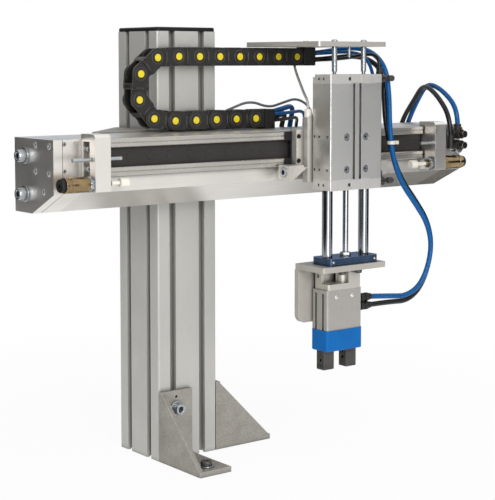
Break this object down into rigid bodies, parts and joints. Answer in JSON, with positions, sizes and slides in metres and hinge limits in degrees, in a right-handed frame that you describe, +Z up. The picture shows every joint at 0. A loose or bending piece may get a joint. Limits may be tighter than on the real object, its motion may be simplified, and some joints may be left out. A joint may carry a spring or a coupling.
{
  "type": "pick and place machine",
  "caption": "Pick and place machine: a slotted column carries a linear axis, a guided lift cylinder and a parallel gripper, with an energy chain and air tubes.",
  "frame": {"origin": "centre of the column's foot, on the plane that the feet stand on", "axes": "+X along the beam towards the valve end, -Y towards the gripper's side, +Z up along the column"},
  "size_m": [0.5914, 0.22, 0.4885],
  "materials": {
    "anodised_profile": "satin",
    "anodised_beam": "satin",
    "end_cap_aluminium": "satin",
    "cast_aluminium": "rough cast",
    "machined_aluminium": "satin",
    "adapter_aluminium": "satin",
    "rail_aluminium": "satin",
    "cylinder_aluminium": "satin",
    "cylinder_cap": "satin",
    "gripper_aluminium": "satin",
    "gripper_bracket_aluminium": "satin",
    "zinc_steel": "satin",
    "bright_steel": "polished",
    "sensor_steel": "satin",
    "dark_steel": "satin",
    "jaw_steel": "satin",
    "blue_zinc": "satin",
    "hard_chrome": "polished",
    "bronze": "satin",
    "absorber_brass": "satin",
    "throttle_brass": "satin",
    "dark_band": "matt",
    "black_plastic": "matt",
    "chain_plastic": "matt",
    "white_plastic": "matt",
    "buffer_white": "matt",
    "blue_plastic": "semi-gloss",
    "blue_tube": "semi-gloss",
    "black_tube": "semi-gloss",
    "grey_cable": "matt"
  },
  "bodies": {
    "frame": {"column": "anodised_profile", "column_cap": "black_plastic", "front_foot_bracket": "cast_aluminium", "right_foot_bracket": "cast_aluminium", "beam_brackets": "cast_aluminium", "frame_screws": "zinc_steel", "beam": "anodised_beam", "left_end_cap": "end_cap_aluminium", "right_end_cap": "end_cap_aluminium", "guide_rails": "rail_aluminium", "rail_cover": "dark_band", "stop_brackets": "machined_aluminium", "shock_absorbers": "absorber_brass", "end_sensors": "sensor_steel", "flow_controls": "black_plastic", "chain_lower_run": "chain_plastic", "tube_manifold": "machined_aluminium", "blue_end_tube": "blue_tube", "black_end_tube": "black_tube", "blue_supply_tube": "blue_tube", "black_supply_tube": "black_tube", "lift_supply_tubes": "blue_tube", "lower_sensor_cable": "grey_cable"},
    "carriage": {"carriage_block": "machined_aluminium", "carriage_ends": "machined_aluminium", "carriage_screws": "zinc_steel", "rail_wipers": "machined_aluminium", "adapter_plate": "adapter_aluminium", "cylinder_body": "cylinder_aluminium", "upper_cylinder_cap": "cylinder_cap", "lower_cylinder_cap": "cylinder_cap", "cylinder_screws": "zinc_steel", "guide_bushes": "bronze", "top_plate": "machined_aluminium", "plate_posts": "bright_steel", "chain_upper_run": "chain_plastic", "cylinder_fittings": "black_plastic", "blue_lift_tube": "blue_tube", "black_lift_tube": "black_tube", "upper_sensor_cable": "grey_cable", "sensor_plug": "white_plastic", "tube_tie": "white_plastic"},
    "chain_bend": {"chain_bend": "chain_plastic"},
    "ram": {"guide_rods": "hard_chrome", "piston_rod": "hard_chrome", "yoke": "blue_zinc", "yoke_fasteners": "dark_steel", "gripper_bracket": "gripper_bracket_aluminium", "gripper_mount": "gripper_bracket_aluminium", "gripper_body": "gripper_aluminium", "gripper_cover": "blue_plastic", "gripper_fittings": "black_plastic", "blue_gripper_tube": "blue_tube", "black_gripper_tube": "black_tube"},
    "jaw_left": {"jaw_left": "jaw_steel"},
    "jaw_right": {"jaw_right": "jaw_steel"},
    "left_buffer": {"left_buffer": "buffer_white"},
    "right_buffer": {"right_buffer": "buffer_white"},
    "upper_throttle_screw": {"upper_throttle_screw": "throttle_brass"},
    "lower_throttle_screw": {"lower_throttle_screw": "throttle_brass"}
  },
  "joints": [
    {"name": "x_travel", "type": "slide", "parent": "frame", "child": "carriage", "axis": [1, 0, 0], "range_m": [-0.2008, 0.0467], "deforming": ["chain_lower_run", "chain_upper_run"]},
    {"name": "chain_roll", "type": "slide", "parent": "frame", "child": "chain_bend", "axis": [1, 0, 0], "range_m": [-0.1004, 0.02335], "deforming": ["chain_lower_run", "chain_upper_run"]},
    {"name": "z_travel", "type": "slide", "parent": "carriage", "child": "ram", "axis": [0, 0, 1], "range_m": [0, 0.07], "deforming": ["blue_gripper_tube", "black_gripper_tube"]},
    {"name": "jaw_left_slide", "type": "slide", "parent": "ram", "child": "jaw_left", "axis": [1, 0, 0], "range_m": [0, 0.008]},
    {"name": "jaw_right_slide", "type": "slide", "parent": "ram", "child": "jaw_right", "axis": [1, 0, 0], "range_m": [-0.008, 0]},
    {"name": "left_buffer_press", "type": "slide", "parent": "frame", "child": "left_buffer", "axis": [-1, 0, 0], "range_m": [0, 0.0062], "stiffness_N_per_m": 400, "springref_m": -0.002},
    {"name": "right_buffer_press", "type": "slide", "parent": "frame", "child": "right_buffer", "axis": [1, 0, 0], "range_m": [0, 0.0062], "stiffness_N_per_m": 400, "springref_m": -0.002},
    {"name": "upper_throttle_turn", "type": "hinge", "parent": "frame", "child": "upper_throttle_screw", "pos_m": [0.337, -0.145, 0.3626], "axis": [0, -1, 0], "range_deg": [-180, 180]},
    {"name": "lower_throttle_turn", "type": "hinge", "parent": "frame", "child": "lower_throttle_screw", "pos_m": [0.337, -0.145, 0.3491], "axis": [0, -1, 0], "range_deg": [-180, 180]}
  ],
  "couplings": [
    {"joint": "chain_roll", "follows": "x_travel", "ratio": 0.5},
    {"joint": "jaw_right_slide", "follows": "jaw_left_slide", "ratio": -1}
  ]
}
